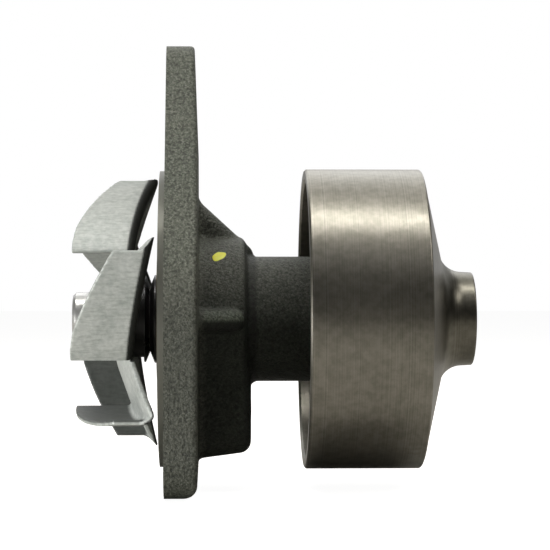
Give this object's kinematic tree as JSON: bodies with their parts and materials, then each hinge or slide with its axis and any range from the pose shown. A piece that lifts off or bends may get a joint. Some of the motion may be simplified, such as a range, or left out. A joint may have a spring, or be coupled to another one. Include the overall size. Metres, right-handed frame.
{
  "type": "engine water pump",
  "caption": "Engine coolant pump with a three-lobed cast iron flange, stamped open impeller, face seal, double-row shaft bearing and a flat-belt pulley.",
  "frame": {"origin": "where the shaft axis crosses the flange's mounting face", "axes": "+X along the shaft from the engine towards the pulley, +Z from the shaft towards the tall bolt lobe, +Y completes the right-handed frame"},
  "size_m": [0.12, 0.1, 0.132],
  "materials": {
    "cast_iron": "as cast, shot blasted and phosphated, matt",
    "pulley_steel": "turned all over, satin, warm grey",
    "sheet_steel": "stamped sheet, zinc plated, satin",
    "shaft_steel": "ground bright",
    "machined_steel": "satin",
    "bearing_steel": "ground bright",
    "cage_brass": "satin",
    "cup_brass": "drawn, satin",
    "black_rubber": "matt black",
    "carbon": "dense carbon, satin black",
    "ceramic": "lapped, off-white",
    "filter_plastic": "open-cell plastic, off-white"
  },
  "bodies": {
    "pump_body": {"housing": "cast_iron", "flange_seal_ring": "black_rubber", "weep_filter": "filter_plastic", "vent_plug": "machined_steel", "bearing_outer_race": "bearing_steel", "bearing_seal_engine_side": "black_rubber", "bearing_seal_pulley_side": "black_rubber", "seal_cup": "cup_brass", "seal_bellows": "black_rubber", "seal_spring": "machined_steel"},
    "rotor": {"pump_shaft": "shaft_steel", "pulley": "pulley_steel", "impeller": "sheet_steel", "impeller_bush": "machined_steel", "seal_sleeve": "machined_steel", "seal_mating_ring": "ceramic", "mating_ring_cup": "black_rubber", "water_slinger": "machined_steel"},
    "ball_row": {"bearing_balls": "bearing_steel", "ball_cage": "cage_brass"},
    "roller_row": {"bearing_rollers": "bearing_steel", "roller_cage": "cage_brass"},
    "seal_face": {"seal_carbon_ring": "carbon", "seal_retainer": "machined_steel"}
  },
  "joints": [
    {"name": "shaft_spin", "type": "hinge", "parent": "pump_body", "child": "rotor", "pos_m": [0, 0, 0], "axis": [1, 0, 0], "continuous": true},
    {"name": "ball_row_orbit", "type": "hinge", "parent": "pump_body", "child": "ball_row", "pos_m": [0.024, 0, 0], "axis": [1, 0, 0], "continuous": true},
    {"name": "roller_row_orbit", "type": "hinge", "parent": "pump_body", "child": "roller_row", "pos_m": [0.042, 0, 0], "axis": [1, 0, 0], "continuous": true},
    {"name": "seal_face_slide", "type": "slide", "parent": "pump_body", "child": "seal_face", "axis": [1, 0, 0], "range_m": [0, 0.0008], "stiffness_N_per_m": 1500, "springref_m": -0.004, "deforming": ["seal_spring", "seal_bellows"]}
  ],
  "couplings": [
    {"joint": "ball_row_orbit", "follows": "shaft_spin", "ratio": 0.375},
    {"joint": "roller_row_orbit", "follows": "shaft_spin", "ratio": 0.4}
  ]
}
